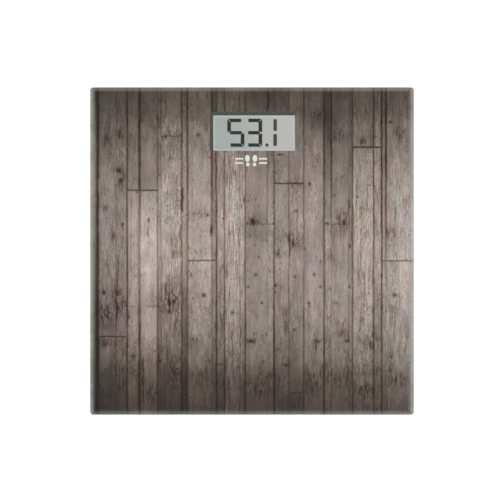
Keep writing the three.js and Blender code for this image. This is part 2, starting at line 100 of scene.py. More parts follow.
class Graph:
    """One material's node tree, built in a few short calls."""

    def __init__(self, name):
        self.material = bpy.data.materials.new(name)
        self.material.use_nodes = True
        self.tree = self.material.node_tree
        self.tree.nodes.clear()
        self.output = self.node("ShaderNodeOutputMaterial")
        # the point's place in the row frame, in millimetres
        split = self.node("ShaderNodeSeparateXYZ")
        self.feed(split.inputs[0], self.node("ShaderNodeTexCoord").outputs["Object"])
        self.x, self.y, self.z = (Wire(self, s) * (1 / MM) for s in split.outputs)

    def feed(self, socket, value):
        if isinstance(value, Wire):
            self.tree.links.new(value.socket, socket)
        elif isinstance(value, bpy.types.NodeSocket):
            self.tree.links.new(value, socket)
        else:
            socket.default_value = value

    def node(self, kind, **settings):
        node = self.tree.nodes.new(kind)
        for key, value in settings.items():
            setattr(node, key, value)
        return node

    def math(self, operation, a, b=0.0, clamp=False):
        node = self.node("ShaderNodeMath", operation=operation, use_clamp=clamp)
        self.feed(node.inputs[0], a)
        self.feed(node.inputs[1], b)
        return Wire(self, node.outputs[0])

    def result(self, output, kind, **inputs):
        """One output of a new node whose inputs are set by name."""
        node = self.node(kind)
        for key, value in inputs.items():
            self.feed(node.inputs[key], value)
        return Wire(self, node.outputs[output])

    def vector(self, x, y, z=0.0):
        return self.result("Vector", "ShaderNodeCombineXYZ", X=x, Y=y, Z=z)

    def colour(self, red, green, blue):
        return self.result("Color", "ShaderNodeCombineColor", Red=red, Green=green, Blue=blue)

    def attribute(self, name):
        return Wire(self, self.node("ShaderNodeAttribute", attribute_name=name).outputs["Fac"])

    def noise(self, vector, detail=2.0, roughness=0.5):
        """Noise about 1 unit across, from 0 to 1 with a mean near 0.5."""
        return self.result("Fac", "ShaderNodeTexNoise", Vector=vector, Scale=1.0, Detail=detail,
                           Roughness=roughness)

    def even_noise(self, per_mm, detail=2.0, roughness=0.5):
        """Noise that is alike in every direction, per_mm units to the millimetre."""
        place = self.vector(self.x * per_mm, self.y * per_mm, self.z * per_mm)
        return self.noise(place, detail, roughness)

    def cells(self, vector, randomness=1.0):
        """Distance to the nearest of a set of scattered points about 1 unit apart."""
        return self.result("Distance", "ShaderNodeTexVoronoi", Vector=vector, Scale=1.0,
                           Randomness=randomness)

    def bump(self, height, distance_mm, strength):
        return self.result("Normal", "ShaderNodeBump", Height=height, Distance=distance_mm * MM,
                           Strength=strength)

    def blend(self, factor, a, b):
        """Colour a where factor is 0, colour b where it is 1."""
        node = self.node("ShaderNodeMix", data_type="RGBA")
        self.feed(node.inputs["Factor"], factor)
        self.feed(node.inputs["A"], a if isinstance(a, Wire) else (*a, 1.0))
        self.feed(node.inputs["B"], b if isinstance(b, Wire) else (*b, 1.0))
        return Wire(self, node.outputs["Result"])

    def surface(self, **inputs):
        """The material, with a Principled shader as its surface. Names use _ for spaces."""
        node = self.node("ShaderNodeBsdfPrincipled")
        for key, value in inputs.items():
            if isinstance(value, tuple):
                value = (*value, 1.0)
            self.feed(node.inputs[key.replace("_", " ")], value)
        self.feed(self.output.inputs["Surface"], node.outputs[0])
        return self.material


def tone(red, green, blue):
    """A display colour, 0 to 255 a channel, as linear light."""
    return tuple((c / 255) ** 2.2 for c in (red, green, blue))


# ---- meshes ----

def in_scene(name, data, place=(0.0, 0.0, 0.0)):
    thing = bpy.data.objects.new(name, data)
    thing.location = place
    bpy.context.scene.collection.objects.link(thing)
    return thing


def new_piece(name, points, faces, body, slot, material, smooth=False):
    """A mesh object in the row frame from points in millimetres, riding on a body."""
    mesh = bpy.data.meshes.new(name)
    mesh.from_pydata([tuple(c * MM for c in p) for p in points], [], faces)
    mesh.polygons.foreach_set("use_smooth", [smooth] * len(mesh.polygons))
    mesh.update()
    mesh.materials.append(material)
    piece = in_scene(name, mesh)
    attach(piece, body)
    return piece


def lofted(rings):
    """Points and faces of a closed skin over rings of points, all with the same number of them."""
    count = len(rings[0])
    points = [point for ring in rings for point in ring]
    faces = [tuple(reversed(range(count)))]
    for start in range(0, len(points) - count, count):
        for i in range(count):
            j = (i + 1) % count
            faces.append((start + i, start + j, start + count + j, start + count + i))
    faces.append(tuple(range(len(points) - count, len(points))))
    return points, faces


def inked(outlines, sheet_z):
    """Points and faces of thin slabs just above a sheet, from outlines listed anticlockwise."""
    bottom = sheet_z + INK_LIFT_MM
    points, faces = [], []
    for outline in outlines:
        start = len(points)
        slab_points, slab_faces = lofted([[(x, y, z) for x, y in outline] for z in (bottom, bottom + INK_MM)])
        points += slab_points
        faces += [tuple(start + i for i in face) for face in slab_faces]
    return points, faces


def filleted(profile, radius, steps=3):
    """The profile with each inner corner replaced by a small arc."""
    result = [profile[0]]
    for before, corner, after in zip(profile, profile[1:], profile[2:]):
        before, corner, after = (Vector(p) for p in (before, corner, after))
        cut = min(radius, (before - corner).length * 0.45, (after - corner).length * 0.45)
        start = corner + (before - corner).normalized() * cut
        end = corner + (after - corner).normalized() * cut
        for i in range(steps + 1):
            k = i / steps
            point = start * (1 - k) ** 2 + corner * 2 * k * (1 - k) + end * k ** 2
            result.append(tuple(point))
    result.append(profile[-1])
    return result


def turned(profile, x, y, sides=72):
    """A body of revolution about a vertical axis: profile is (radius, z), from axis to axis."""
    points, faces = [], []
    rings = []
    for radius, z in profile:
        if radius < 1e-6:
            rings.append([len(points)])
            points.append((x, y, z))
            continue
        rings.append(list(range(len(points), len(points) + sides)))
        for i in range(sides):
            angle = 2 * math.pi * i / sides
            points.append((x + radius * math.cos(angle), y + radius * math.sin(angle), z))
    for a, b in zip(rings, rings[1:]):
        for i in range(sides):
            j = (i + 1) % sides
            if len(a) == 1:
                faces.append((a[0], b[j], b[i]))
            elif len(b) == 1:
                faces.append((a[i], a[j], b[0]))
            else:
                faces.append((a[i], a[j], b[j], b[i]))
    return points, faces


def stations(line):
    """Each point of a line, with a function that gives the points of a circle round it there.

    The circles don't twist about the line as they go along it."""
    side = Vector((0.0, 0.0, 1.0))
    for i, centre in enumerate(line):
        ahead = (line[min(i + 1, len(line) - 1)] - line[max(i - 1, 0)]).normalized()
        side = (side - ahead * side.dot(ahead)).normalized()
        other = ahead.cross(side)

        def around(radius, angle, centre=centre, side=side, other=other):
            return centre + side * (radius * math.cos(angle)) + other * (radius * math.sin(angle))

        yield centre, around


def tube(line, radius, sides=8):
    """A round tube along a line of points, its ends closed."""
    return lofted([[tuple(around(radius, 2 * math.pi * k / sides)) for k in range(sides)]
                   for _, around in stations(line)])


def smooth_line(points, spacing):
    """Points along a centripetal Catmull-Rom curve through the given ones."""
    points = [Vector(p) for p in points]
    padded = [points[0] * 2 - points[1]] + points + [points[-1] * 2 - points[-2]]
    line = []
    for p0, p1, p2, p3 in zip(padded, padded[1:], padded[2:], padded[3:]):
        d0, d1, d2 = (max((b - a).length, 1e-6) ** 0.5 for a, b in ((p0, p1), (p1, p2), (p2, p3)))
        t1 = ((p1 - p0) / d0 - (p2 - p0) / (d0 + d1) + (p2 - p1) / d1) * d1
        t2 = ((p2 - p1) / d1 - (p3 - p1) / (d1 + d2) + (p3 - p2) / d2) * d1
        count = max(1, round((p2 - p1).length / spacing))
        for i in range(count):
            k = i / count
            line.append(p1 + t1 * k + ((p2 - p1) * 3 - t1 * 2 - t2) * k ** 2
                        + ((p1 - p2) * 2 + t1 + t2) * k ** 3)
    line.append(points[-1])
    return line


# ---- sizes from the frame ----

GLASS_LOW, GLASS_HIGH = (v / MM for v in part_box("glass_platform"))
FILM_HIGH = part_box("decor_film")[1] / MM
LCD_LOW, LCD_HIGH = (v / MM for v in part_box("lcd_panel"))
FOOT_X, FOOT_Y, _ = sum(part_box("foot_housing_rear_right"), Vector()) / 2 / MM
PRINT_LIFT_MM = 0.15                 # from the film's face to the print's sheet
PRINT_INSET_MM = 0.25                # from the glass's edge to the print's
INK_LIFT_MM, INK_MM = 0.02, 0.04     # a printed mark's height off its sheet, and its thickness
PRINT_Z_MM = FILM_HIGH.z + PRINT_LIFT_MM
PRINT_HALF_X = GLASS_HIGH.x - PRINT_INSET_MM
PRINT_HALF_Y = GLASS_HIGH.y - PRINT_INSET_MM

# The clear part of the display, and the film's cut-out round it, which also shows a strip of the dark
# display frame at the left and the far side, as painted shadow of the cut-out's edge. Both are (left, low,
# right, high).
LCD_BORDER_MM = 4.0
SHADOW_STRIP_MM = 3.1
DISPLAY_MM = (LCD_LOW.x + LCD_BORDER_MM, LCD_LOW.y + LCD_BORDER_MM,
              LCD_HIGH.x - LCD_BORDER_MM, LCD_HIGH.y - LCD_BORDER_MM)
WINDOW_MM = (DISPLAY_MM[0] - SHADOW_STRIP_MM, DISPLAY_MM[1], DISPLAY_MM[2], DISPLAY_MM[3] + SHADOW_STRIP_MM)


# ---- printed boards ----

# Each board, from the left: its right edge; how dark the groove at that edge is at the user's
# end, across the middle and at the display end; how wide that groove is; the board's own shade
# at the same three places; its tint, from greenish (-1) to pinkish (+1); and how weathered it
# is, from 0 to 1.
BOARDS = [
    (-143.3, (0.8, 0.64, 0.68), 1.35, (0.54, 0.67, 0.93), 0.2, 0.2),
    (-126, (0.3, 0.2, 0.04), 0.5, (0.77, 0.86, 0.91), 0.1, 0.5),
    (-115.8, (0.52, 0.6, 0.55), 0.7, (0.87, 0.88, 0.92), 0.3, 0.7),
    (-104.4, (0.55, 0.22, 0.66), 1.1, (1.05, 1.03, 0.97), 0.3, 0.3),
    (-87.8, (0.4, 0.3, 0.25), 0.6, (1.15, 1.12, 0.97), 0.1, 0.1),
    (-84, (0.16, 0.05, 0.05), 0.5, (0.86, 1.04, 0.97), 0.1, 0.6),
    (-65.2, (0.48, 0.28, 0.42), 0.7, (0.94, 1.08, 1.08), 0.1, 0.9),
    (-59.9, (0.32, 0.32, 0.48), 0.9, (0.78, 1.02, 1.06), 0, 0.6),
    (-37.5, (0.14, 0.24, 0.66), 0.7, (1.06, 1.09, 1.11), 0.2, 0.3),
    (-33, (0.6, 0.58, 0.3), 0.7, (0.86, 0.95, 0.93), 0.2, 0.6),
    (-25.5, (0.58, 0.34, 0.34), 0.7, (0.95, 1.01, 1.08), 0, 0.8),
    (-11.5, (0.16, 0.14, 0.16), 0.5, (1.08, 1.08, 1.1), 0, 1),
    (-6.3, (0.48, 0.34, 0.24), 0.6, (0.97, 1.07, 1.12), 0.1, 0.7),
    (14.4, (0.08, 0.1, 0.26), 0.5, (1.02, 0.92, 1.0), 0.2, 0.1),
    (20.4, (0.66, 0.46, 0.3), 0.7, (1.04, 1.02, 0.94), 0.1, 0.3),
    (34.2, (0.26, 0.28, 0.24), 0.6, (0.95, 0.99, 0.97), 0.1, 0.4),
    (48, (0.42, 0.22, 0.42), 0.6, (0.96, 0.96, 1.02), 0.3, 0.4),
    (66.8, (0.56, 0.4, 0.52), 0.8, (1.09, 0.96, 1.02), 0.2, 0.2),
    (73.5, (0.16, 0.08, 0.66), 0.6, (1.09, 1.04, 0.82), 0, 0.4),
    (89.6, (0.18, 0.12, 0.05), 0.6, (1.09, 0.93, 0.92), 0.1, 0.2),
    (93.3, (0.42, 0.34, 0.4), 0.7, (1.02, 0.91, 0.82), 0.3, 0.4),
    (112.7, (0.52, 0.38, 0.6), 0.7, (1.17, 1.12, 1.06), 0, 0.7),
    (120.2, (0.54, 0.58, 0.7), 0.7, (1.06, 1.05, 1.1), 0, 0.6),
    (124.2, (0.05, 0.22, 0.74), 0.9, (1.06, 1.06, 0.97), 0, 0.4),
    (146.6, (0.06, 0.08, 0.1), 0.7, (1.06, 1.06, 1.05), -0.1, 0.5),
    (PRINT_HALF_X, (0, 0, 0), 0.8, (1.12, 1.06, 1.04), -0.1, 0.3),
]
PLACES = (-80, 0, 90)      # where the three values of a board apply

# Each butt joint: the board edges that it runs between, its y, and how dark it is.
JOINTS = [
    (-115.8, -87.8, 56.3, 0.58), (-84, -65.2, 106.5, 0.3), (93.3, 120.2, 96.3, 0.72),
    (20.4, 48, 62.7, 0.58), (-6.3, 20.4, 24.9, 0.25), (66.8, 89.6, 24.9, 0.25),
    (-59.9, -33, -8.7, 0.45), (120.2, 150, -9, 0.45), (-143.3, -115.8, -79.3, 0.5),
    (-33, -25.5, -105, 0.35), (34.2, 48, -131.5, 0.3),
]

# Each knot or nail hole: x, y, half width, half height, darkness, in millimetres.
KNOTS = [
    (-123.6, 75, 3.4, 2, 0.5), (-121, 66, 1.2, 3, 0.28), (-95.8, 28.6, 1.3, 2, 0.45),
    (-135.9, 39.8, 2.2, 3, 0.35), (-119.9, 24.9, 1.1, 1.5, 0.45), (-128.4, 13.7, 1.6, 3.2, 0.35),
    (-123, 109, 3.4, 5, 0.36), (-80, 106, 1, 2, 0.4), (-50, 108, 1.8, 1.3, 0.45),
    (-41.5, 33.4, 1, 1.6, 0.45), (-37.5, 19, 1.1, 3.2, 0.45), (1.1, 27.5, 2.6, 2.8, 0.5),
    (-7.5, 47, 0.7, 3.4, 0.4), (85.4, 27, 1.9, 2.3, 0.5), (53.3, 62.2, 1.3, 1.3, 0.55),
    (41.1, 37.2, 1.5, 1.5, 0.45), (76.3, 51.5, 1.2, 1.5, 0.4), (128.5, 119.8, 1.7, 1.6, 0.52),
    (37.9, 6.7, 1.5, 1.8, 0.4), (26, 89.4, 2.2, 0.8, 0.55), (-44.6, -41, 2, 2, 0.54),
    (132.3, -41, 2, 1.9, 0.48), (-138, -37.8, 1.7, 3, 0.35), (-76, -48.4, 1.3, 2.2, 0.42),
    (-114, -60.7, 1.6, 3, 0.35), (3.3, -22, 1.4, 1.8, 0.4), (57.6, -21.7, 1.5, 1.8, 0.4),
    (-3.6, -33.5, 1.3, 1.3, 0.45), (63.5, -33, 1.3, 1.3, 0.4), (90.6, -33.3, 1.2, 1.5, 0.4),
    (21.9, -31.9, 1.3, 1.5, 0.45), (40, -23.7, 1.2, 1.5, 0.4), (9, -48.2, 1.4, 1.2, 0.45),
    (52.8, -48.2, 1.4, 1.2, 0.45), (77.9, -48.2, 1.4, 1.2, 0.4), (39.4, -72.9, 1.5, 1.5, 0.45),
    (-1, -83.5, 3, 1.7, 0.55), (60.8, -83.9, 2.2, 1.9, 0.4), (88.4, -83.4, 1.8, 1.6, 0.5),
    (32, -106, 2.6, 1.8, 0.4), (-110, -98, 2, 3.4, 0.35), (125.4, 18.5, 1, 3.2, 0.48),
    (90.6, 4.5, 1, 2.4, 0.42), (119.9, -22.6, 0.8, 1.8, 0.4), (113, -27, 0.7, 2, 0.35),
    (63.6, -9.8, 0.8, 1.4, 0.3), (19.8, 25.5, 0.9, 1.4, 0.42), (69.5, 26, 1.6, 1, 0.42),
    (10.2, -102.6, 1.4, 1.4, 0.35),
]

# Each open crack: x, from y, to y, half width, darkness.
CRACKS = [
    (-64.9, 34, 61, 1.3, 0.5), (-66.4, -8, 27, 0.8, 0.36), (-79.5, -41, -27, 0.8, 0.45),
    (-77, -60, -40, 0.7, 0.55), (-70.5, -76, -60, 0.6, 0.4), (-124.3, -36, -2, 0.5, 0.42),
    (-125.5, -68, -42, 0.6, 0.5), (-101, -142, -96, 0.6, 0.45), (-38.2, 12, 25, 0.8, 0.45),
    (-23.3, -28, -8, 0.5, 0.4), (-9.8, 37, 46, 0.6, 0.5), (-12.4, 2, 21, 0.5, 0.38),
    (34.9, -9, 18, 0.6, 0.45), (97.2, 36, 65, 0.5, 0.42), (107, 36, 65, 0.5, 0.4),
    (104, -60, -20, 0.5, 0.35), (88.4, -128, -90, 0.7, 0.4), (-18, -110, -70, 0.5, 0.4),
    (-30, 50, 72, 0.5, 0.35), (133, 20, 44, 0.5, 0.35), (59, -100, -78, 0.5, 0.35),
    (14.9, 129, 152, 1.2, 0.5), (-12, 128, 146, 0.6, 0.35),
]

# Each ragged stain: x, y, half width, half height, darkness.
STAINS = [
    (-138, -38, 3.4, 2.2, 0.45), (-136, -57, 6, 11, 0.36), (-125, -46, 5, 17, 0.32),
    (-121, 66, 3.4, 9, 0.32), (-134, 104, 4.5, 9, 0.22), (-75, -47, 11, 14, 0.3),
    (-91, -51, 10, 1.2, 0.22), (-57, -23, 2.5, 3, 0.22), (-53, -82, 4, 2.6, 0.25), (-72, 2, 4, 9, 0.2),
    (-48, 34, 8, 3.6, 0.18), (1.3, 27, 5, 5, 0.26), (37, 10, 8, 9, 0.22), (40, 62, 7, 7, 0.16),
    (61, 125, 4, 4.5, 0.3), (78, 108, 6, 7, 0.25), (84, 29, 5.5, 8, 0.32), (90, 41, 2.5, 7, 0.22),
    (103, 101, 3.6, 2.2, 0.3), (137, 108, 5, 8, 0.22), (73, -5, 7, 6, 0.15), (-96, 14, 2.4, 8, 0.2),
    (24, -2, 2.6, 4, 0.25), (-1, -84, 5, 3, 0.25), (-103, -120, 4, 22, 0.22), (20, -118, 9, 5, 0.24),
    (66, -116, 9, 8, 0.22), (110, -84, 6, 14, 0.22), (-30, -123, 7, 6, 0.2), (32, -63, 2.6, 10, 0.22),
    (-134, -86, 10, 4, 0.22), (100, -24, 5, 8, 0.14), (129, 17, 6, 7, 0.2), (56, -122, 9, 12, 0.26),
    (80, -118, 9, 8, 0.2), (104, -128, 9, 12, 0.26), (136, -120, 9, 5, 0.3), (128.4, -103, 3, 10, 0.25),
    (86, -77, 5, 6, 0.26), (-72, -112, 7, 16, 0.26), (-48, -118, 9, 12, 0.15), (6, -128, 12, 9, 0.28),
    (-94, -132, 8, 10, 0.24), (100, -68, 3, 12, 0.22), (60, -88, 4, 6, 0.2), (-122, -112, 8, 14, 0.15),
    (-119, -50, 3, 8, 0.3), (-86.5, -101, 1.8, 11, 0.34), (-104, -130, 1.8, 16, 0.3),
]

# Large soft light and dark patches: x, y, half width, half height, change of shade.
PATCHES = [
    (-60, -112, 60, 26, -0.06), (146, -60, 20, 90, 0.08), (150, -140, 30, 36, 0.2),
    (88, -134, 34, 18, 0.06), (8, 142, 18, 11, -0.18), (62, 120, 12, 14, -0.16),
    (-96, 12, 16, 34, 0.06), (4, 24, 10, 26, -0.06), (-130, 100, 24, 24, -0.04),
    (-62.6, -125, 2.6, 36, -0.17), (-75, -144, 13, 11, -0.18), (-133, -95, 12, 10, 0.16),
    (70.2, 128, 3.4, 26, -0.18), (-101.8, 64, 12, 8, -0.1), (-74.6, 98, 8, 8, -0.08),
    (-74.6, 114, 8, 6, 0.07), (106.7, 105, 12, 8, -0.11), (34, 55, 12, 7, -0.06), (7, 17, 12, 7, -0.11),
    (78, 17, 11, 7, -0.12), (41, -139, 7, 7, -0.2), (-139, 32, 9, 28, 0.1), (140, 42, 9, 22, 0.07),
    (141, -27, 9, 14, 0.06), (140, -118, 10, 12, 0.12), (-102, 10, 9, 9, 0.07), (-65, 66, 8, 8, 0.08),
    (72, 48, 14, 9, 0.06), (-121, -121, 9, 9, 0.07), (-85, -62, 12, 10, -0.07), (104, -83, 8, 8, 0.07),
    (84, -83, 8, 7, -0.06), (40, 84, 34, 8, -0.05),
]

BRIGHTEST_Y = 16.0
TOP_FADE = (174.0, 2.0)      # distance and power of the fade towards the display end
BOTTOM_FADE = (184.0, 2.7)   # and towards the user's end


def board_shade(x, y):
    """How light the sheet is broadly: brightest across the middle, darker towards both ends, with soft
    patches.
    """
    away = y - BRIGHTEST_Y
    top = np.exp(-(np.maximum(away, 0) / TOP_FADE[0]) ** TOP_FADE[1])
    bottom = np.exp(-(np.maximum(-away, 0) / BOTTOM_FADE[0]) ** BOTTOM_FADE[1])
    result = top * bottom
    for cx, cy, rx, ry, change in PATCHES:
        result = result * (1 + change * np.exp(-((x - cx) / rx) ** 2 - ((y - cy) / ry) ** 2))
    return result


def grain_bend(x, y):
    """How far the grain lines are pushed sideways round the knots."""
    bend = np.zeros_like(x)
    for cx, cy, rx, ry, _ in KNOTS:
        reach_x, reach_y = 2.4 * rx + 1.5, 3.2 * ry + 4
        near = np.exp(-((x - cx) / reach_x) ** 2 - ((y - cy) / reach_y) ** 2)
        bend += (x - cx) * near * 0.75
    return bend


def stops(low, high, spacing, extra):
    """Evenly spaced values from low to high, with some extra ones between them."""
    count = max(1, round((high - low) / spacing))
    values = list(np.linspace(low, high, count + 1))
    values += [v for v in extra if low + 0.2 < v < high - 0.2]
    return np.array(sorted(values))


def board_cells():
    """Each printed board's stretches between butt joints.

    One entry is (left, right, low, high, steady facts, facts that change along the board)."""
    cells = []
    left, left_groove, left_width = -PRINT_HALF_X, (0.0, 0.0, 0.0), 1.0
    for number, (right, groove, width, shades, tint, wear) in enumerate(BOARDS):
        cuts = [(y, strength) for a, b, y, strength in JOINTS if a - 0.4 <= left and right <= b + 0.4]
        edges = [(-PRINT_HALF_Y, 0.0)] + sorted(cuts) + [(PRINT_HALF_Y, 0.0)]
        for part, ((low, low_dark), (high, high_dark)) in enumerate(zip(edges, edges[1:])):
            steady = {
                "left_width": left_width, "right_width": width,
                "low_dark": low_dark, "high_dark": high_dark,
                "tint": tint, "wear": wear,
                "seed": 7.3 * number + 3.1 * part,
            }
            changing = {"left_dark": left_groove, "right_dark": groove, "shade": shades}
            cells.append((left, right, low, high, steady, changing))
        left, left_groove, left_width = right, groove, width
    return cells


def printed_boards():
    """The face of the decor film, one flat sheet: each board's facts are kept on its points."""
    x0, y0, x1, y1 = WINDOW_MM
    points, faces = [], []
    values = {}

    def keep(name, numbers):
        values.setdefault(name, []).append(np.broadcast_to(numbers, grid_x.shape).ravel())

    for left, right, low, high, steady, changing in board_cells():
        xs = stops(left, right, 2.2, (x0, x1))
        ys = stops(low, high, 3.0, (y0, y1))
        grid_x, grid_y = np.meshgrid(xs, ys)
        start = len(points)
        points += [(x, y, PRINT_Z_MM) for x, y in zip(grid_x.ravel(), grid_y.ravel())]
        columns = len(xs)
        for row in range(len(ys) - 1):
            for column in range(columns - 1):
                middle_x = (xs[column] + xs[column + 1]) / 2
                middle_y = (ys[row] + ys[row + 1]) / 2
                if x0 < middle_x < x1 and y0 < middle_y < y1:
                    continue
                i = start + row * columns + column
                faces.append((i, i + 1, i + 1 + columns, i + columns))
        keep("from_left", grid_x - left)
        keep("from_right", right - grid_x)
        keep("from_low", grid_y - low)
        keep("from_high", high - grid_y)
        keep("broad_shade", board_shade(grid_x, grid_y))
        keep("bend", grain_bend(grid_x, grid_y))
        for name, number in steady.items():
            keep(name, number)
        for name, numbers in changing.items():
            keep(name, np.interp(grid_y, PLACES, numbers))

    piece = new_piece("decor_print", points, faces, PLATFORM, "decor_print", board_material())
    for name, chunks in values.items():
        layer = piece.data.attributes.new(name, "FLOAT", "POINT")
        layer.data.foreach_set("value", np.concatenate(chunks).astype(np.float32))


class BoardPrint(Graph):
    """The print's node tree. Its methods share the wires that are set up here."""

    def __init__(self):
        super().__init__("printed_boards")
        self.seed = self.attribute("seed")
        wander = (self.mottle(self.x, 0.045, 0.028, 1.0) - 0.5) * 5.0
        self.across = self.x - self.attribute("bend") + wander
        patchy = self.mottle(self.x, 0.055, 0.022, 1.0, 3, 0.6) - 0.5
        self.wear = (self.attribute("wear") + patchy * 2.2).clamped()
        self.cluster = self.mottle(self.x, 0.05, 0.032, 2.9, 3, 0.6).band(0.48, 0.62, 0.12, 1.0)

    def mottle(self, at_x, per_x, per_y, layer, detail=2.0, roughness=0.5):
        """Noise with units per millimetre of its own each way, different on every board."""
        place = self.vector(at_x * per_x, self.y * per_y, self.seed * layer)
        return self.noise(place, detail, roughness)

    def whole_mottle(self, per_x, per_y, layer, detail=3.0, roughness=0.5):
        """The same, but running on from board to board."""
        place = self.vector(self.x * per_x, self.y * per_y, layer)
        return self.noise(place, detail, roughness)

    def grain(self):
        """Lighter and darker wood about 0: fibres of several sizes, stronger where weathered."""
        fine = self.mottle(self.across, 1.7, 0.095, 1.0, 3, 0.7) - 0.5
        fibre = self.mottle(self.across, 0.7, 0.03, 1.7, 3, 0.6) - 0.5
        streak = self.mottle(self.across, 0.22, 0.012, 2.3) - 0.5
        cloud = self.mottle(self.x, 0.09, 0.05, 3.1, 3, 0.6) - 0.5
        speck = self.mottle(self.x, 1.2, 0.8, 1.0, 3, 0.75) - 0.5
        pale = self.mottle(self.across, 0.95, 0.045, 7.9).band(0.57, 0.67)
        fleck = self.mottle(self.x, 0.8, 0.34, 6.1, 3, 0.7).band(0.6, 0.7)
        return ((fine * 1.04 + fibre * 0.55) * (self.wear * 0.75 + 0.22)
                + streak * 0.22 + cloud * 0.42 + speck * (self.wear * 0.6 + 0.4)
                + pale * self.wear * 0.12 + fleck * self.cluster * 0.12)

    def gaps(self):
        """The grooves and butt joints, the soft shadow beside a groove, and its raised edges."""
        ragged = (self.mottle(self.x, 0.4, 0.25, 1.0, 3, 0.65) - 0.5) * 0.9
        uneven = self.mottle(self.x, 0.05, 0.045, 1.3).band(0.32, 0.6, 0.6, 1.05)
        from_left, from_right = self.attribute("from_left"), self.attribute("from_right")
        left_dark, right_dark = self.attribute("left_dark"), self.attribute("right_dark")
        left = (from_left + ragged).bell(self.attribute("left_width") * 1.15) * left_dark
        right = (from_right + ragged).bell(self.attribute("right_width") * 1.15) * right_dark
        low = (self.attribute("from_low") + ragged).bell(0.7) * self.attribute("low_dark")
        high = (self.attribute("from_high") + ragged).bell(0.7) * self.attribute("high_dark")
        gap = (left.larger(right) * uneven).larger(low.larger(high))
        shadow = from_left.bell(3.4) * left_dark * 0.2 + from_right.bell(1.8) * right_dark * 0.14
        raised = ((from_left - 2.0).bell(0.7) * left_dark * 0.13
                  + (from_right - 1.7).bell(0.6) * right_dark * 0.08)
        return gap, shadow * uneven, raised

    def spots(self, places, at_x, at_y):
        """The darkest at each point of a list of soft oval spots."""
        total = 0.0
        for cx, cy, rx, ry, dark in places:
            dx = (at_x - cx) * (1 / rx)
            dy = (at_y - cy) * (1 / ry)
            total = (self.math("EXPONENT", (dx * dx + dy * dy) * -1.0) * dark).larger(total)
        return total

    def cracks(self):
        wavy_x = self.x + (self.whole_mottle(0.02, 0.12, 5.0, 3, 0.6) - 0.5) * 5.0
        total = 0.0
        for cx, low_y, high_y, half, dark in CRACKS:
            along = (self.y - low_y).band(0.0, 5.0) * (high_y - self.y).band(0.0, 5.0)
            total = ((wavy_x - cx).bell(half) * along * dark).larger(total)
        return total

    def blemishes(self):
        """How dark each kind of mark makes the wood, one kind after another."""
        x, y = self.x, self.y
        ragged_x = x + (self.whole_mottle(0.5, 0.5, 3.0) - 0.5) * 1.8
        ragged_y = y + (self.whole_mottle(0.5, 0.5, 9.0) - 0.5) * 2.2
        yield self.spots(KNOTS, ragged_x, ragged_y) * 1.2
        yield self.cracks()
        torn = self.whole_mottle(0.46, 0.12, 7.0, 5, 0.75).band(0.46, 0.55, 0.15, 2.1)
        yield self.spots(STAINS, x, y) * torn
        loose_stain = self.mottle(x, 0.2, 0.09, 1.0, 5, 0.75).band(0.56, 0.66)
        yield loose_stain * (self.wear * 0.2 + 0.05)
        line = self.mottle(self.across, 1.15, 0.034, 5.3).band(0.58, 0.66)
        yield line * (self.wear * 0.26 + 0.05)
        yield self.cells(self.vector(x * 0.085, y * 0.06, 4.0)).band(0.045, 0.085, 0.42, 0.0)
        dash = self.mottle(x, 0.85, 0.24, 3.7, 3, 0.7).band(0.55, 0.63)
        yield dash * self.cluster * 0.36
        patch = self.mottle(x, 0.12, 0.05, 2.1, 4, 0.7).band(0.53, 0.58, 0.0, 0.11)
        yield patch * (y - 20.0).size().band(30.0, 80.0)

    def scorched(self):
        """Both ends are darkened in ragged patches, further in on some boards than on others."""
        ragged = self.mottle(self.x, 0.16, 0.055, 0.9, 5, 0.7) - 0.5
        return ((self.y - 6.0).size() + ragged * 70.0).band(108.0, 117.0, 0.0, 0.14)

    def wood_colour(self, value, kept, scorched):
        """Greyed brown, pinker or greener in places, browner where it is locally dark.

        value is how light the print is, and kept the share of it that the blemishes leave."""
        drift = (self.mottle(self.across, 0.07, 0.022, 4.7, 3, 0.6) - 0.5) * 2.7
        yellower = self.mottle(self.x, 0.05, 0.02, 8.3, 3, 0.6) - 0.5
        greener_right = self.x * (self.y * -1.0).band(10.0, 80.0) * 0.004
        tint = self.attribute("tint") + drift - self.y.band(100.0, 150.0) * 0.5 - greener_right
        brown = 1.0 - kept - scorched * 0.2
        broad_darkening = 1.0 - self.attribute("broad_shade")
        light = value.power(2.2)
        bright = value.band(0.48, 0.75)
        dark = value.band(0.16, 0.42, 1.0, 0.0)
        red = light * (1.162 + tint * 0.1 + brown * 0.6 + broad_darkening * 0.02 + dark * 0.11
                       - bright * 0.03)
        green = light * (0.92 - tint * 0.014 + brown * 0.06)
        blue = light * (0.843 + tint * 0.014 - yellower * 0.2 - brown * 0.14 - broad_darkening * 0.13
                        - dark * 0.09 + bright * 0.014)
        return self.colour(red, green, blue)

    def painted_edge_light(self, boards, gap):
        """Painted light: a lighter haze along the print's outer edges and a grey-green strip beside the
        display window's right edge, standing for the light that the ground edges of the glass and of the
        cut-out scatter over the print.
        """
        # painted light: lighter bands along the print's four edges, each of its own width and strength
        far = (PRINT_HALF_Y - 1.7 - self.y).bell(1.4) * 0.33
        near = (PRINT_HALF_Y - 0.9 + self.y).bell(2.0) * 0.3
        left = (PRINT_HALF_X + self.x).bell(2.4) * 0.84
        right = (PRINT_HALF_X - 0.8 - self.x).bell(2.4) * 0.68
        painted_light_patchiness = self.whole_mottle(0.03, 0.05, 2.0, 3, 0.6).band(0.35, 0.62, 0.7, 1.08)
        painted_light_share = far.larger(near).larger(left.larger(right)) * painted_light_patchiness * (1.0 - gap * 0.6)
        boards = self.blend(painted_light_share, boards, tone(204, 201, 195))
        _, low, edge, high = WINDOW_MM
        # painted light: a grey-green strip beside the window's right edge, along the window's height
        beside = ((self.x - edge - 3.2).bell(3.0) * (self.y - low + 1.0).band(0.0, 2.0)
                  * (high - self.y + 1.0).band(0.0, 2.0))
        return self.blend(beside * 0.42, boards, tone(122, 127, 115))


PRINT_BRIGHTNESS = 0.676
PRINT_DARKEST = 0.1


